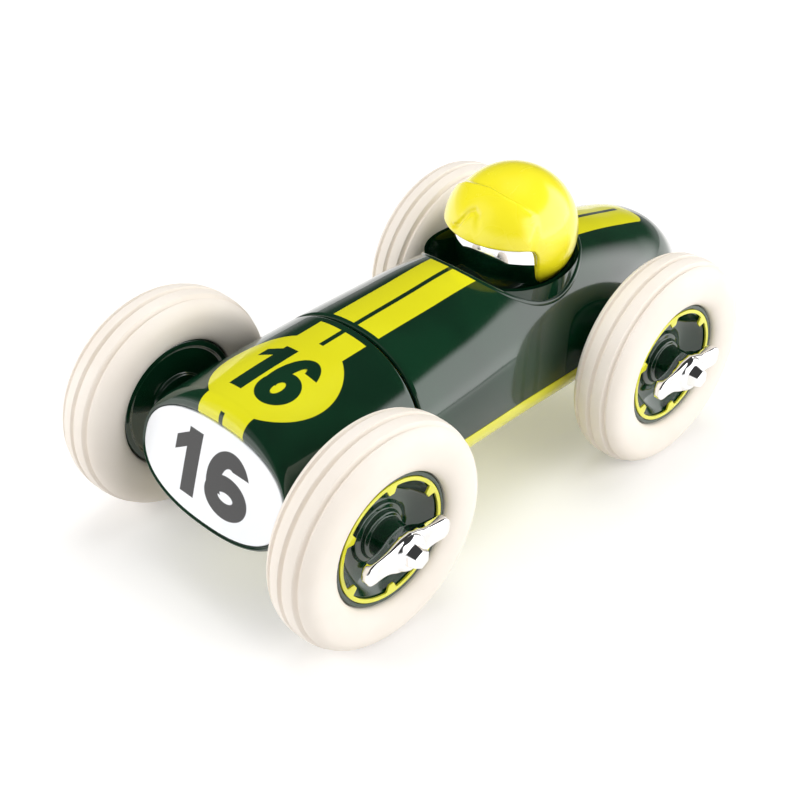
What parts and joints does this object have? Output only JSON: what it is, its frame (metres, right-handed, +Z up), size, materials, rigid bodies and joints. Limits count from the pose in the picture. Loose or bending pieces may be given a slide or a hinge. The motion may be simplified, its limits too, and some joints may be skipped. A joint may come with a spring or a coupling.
{
  "type": "pull back racing car",
  "caption": "Toy racing car with a long rounded body, open cockpit and helmeted driver, large ribbed tyres with knock-off spinners, and a pull back spring motor geared to the rear axle.",
  "frame": {"origin": "on the floor under the middle of the car's overall box, tyres standing on z = 0", "axes": "+X towards the nose, +Y to the car's left, +Z up"},
  "size_m": [0.2395, 0.1344, 0.1005],
  "materials": {
    "green_gloss": "high gloss",
    "yellow_gloss": "gloss",
    "helmet_yellow": "gloss",
    "cream_rubber": "matte",
    "white_plate": "satin",
    "chrome": "mirror",
    "steel": "plain",
    "nylon": "natural",
    "case_plastic": "moulded"
  },
  "bodies": {
    "chassis": {"rear_body": "green_gloss", "floor_pan": "yellow_gloss", "nose_cowl": "green_gloss", "nose_plate": "white_plate", "cockpit_tub": "green_gloss", "driver_torso": "green_gloss", "driver_head": "chrome", "helmet": "helmet_yellow", "head_screw": "steel", "pan_screw_front_left": "steel", "pan_screw_front_right": "steel", "pan_screw_rear_left": "steel", "pan_screw_rear_right": "steel", "motor_case_left": "case_plastic", "motor_case_right": "case_plastic", "motor_screw_front": "steel", "motor_screw_rear": "steel", "front_bush_left": "nylon", "front_bush_right": "nylon", "idler_pin": "steel", "mainspring": "steel"},
    "front_wheels": {"front_axle": "steel", "tyre_front_left": "cream_rubber", "wheel_disc_front_left": "green_gloss", "wheel_back_front_left": "green_gloss", "wheel_ring_front_left": "yellow_gloss", "spinner_front_left": "chrome", "tyre_front_right": "cream_rubber", "wheel_disc_front_right": "green_gloss", "wheel_back_front_right": "green_gloss", "wheel_ring_front_right": "yellow_gloss", "spinner_front_right": "chrome"},
    "rear_wheels": {"rear_axle": "steel", "tyre_rear_left": "cream_rubber", "wheel_disc_rear_left": "green_gloss", "wheel_back_rear_left": "green_gloss", "wheel_ring_rear_left": "yellow_gloss", "spinner_rear_left": "chrome", "tyre_rear_right": "cream_rubber", "wheel_disc_rear_right": "green_gloss", "wheel_back_rear_right": "green_gloss", "wheel_ring_rear_right": "yellow_gloss", "spinner_rear_right": "chrome", "axle_gear": "nylon"},
    "idler": {"idler_gear": "nylon"},
    "spring_drive": {"spring_gear": "nylon", "spring_arbor": "steel"}
  },
  "joints": [
    {"name": "front_wheels_spin", "type": "hinge", "parent": "chassis", "child": "front_wheels", "pos_m": [0.08225, 0, 0.0375], "axis": [0, 1, 0], "continuous": true},
    {"name": "rear_wheels_spin", "type": "hinge", "parent": "chassis", "child": "rear_wheels", "pos_m": [-0.05395, 0, 0.0375], "axis": [0, 1, 0], "continuous": true},
    {"name": "idler_spin", "type": "hinge", "parent": "chassis", "child": "idler", "pos_m": [-0.04223, 0, 0.04312], "axis": [0, 1, 0], "continuous": true},
    {"name": "spring_spin", "type": "hinge", "parent": "chassis", "child": "spring_drive", "pos_m": [-0.02828, 0, 0.0388], "axis": [0, 1, 0], "continuous": true, "deforming": ["mainspring"]}
  ],
  "couplings": [
    {"joint": "idler_spin", "follows": "rear_wheels_spin", "ratio": -0.6},
    {"joint": "spring_spin", "follows": "rear_wheels_spin", "ratio": 0.23077}
  ]
}
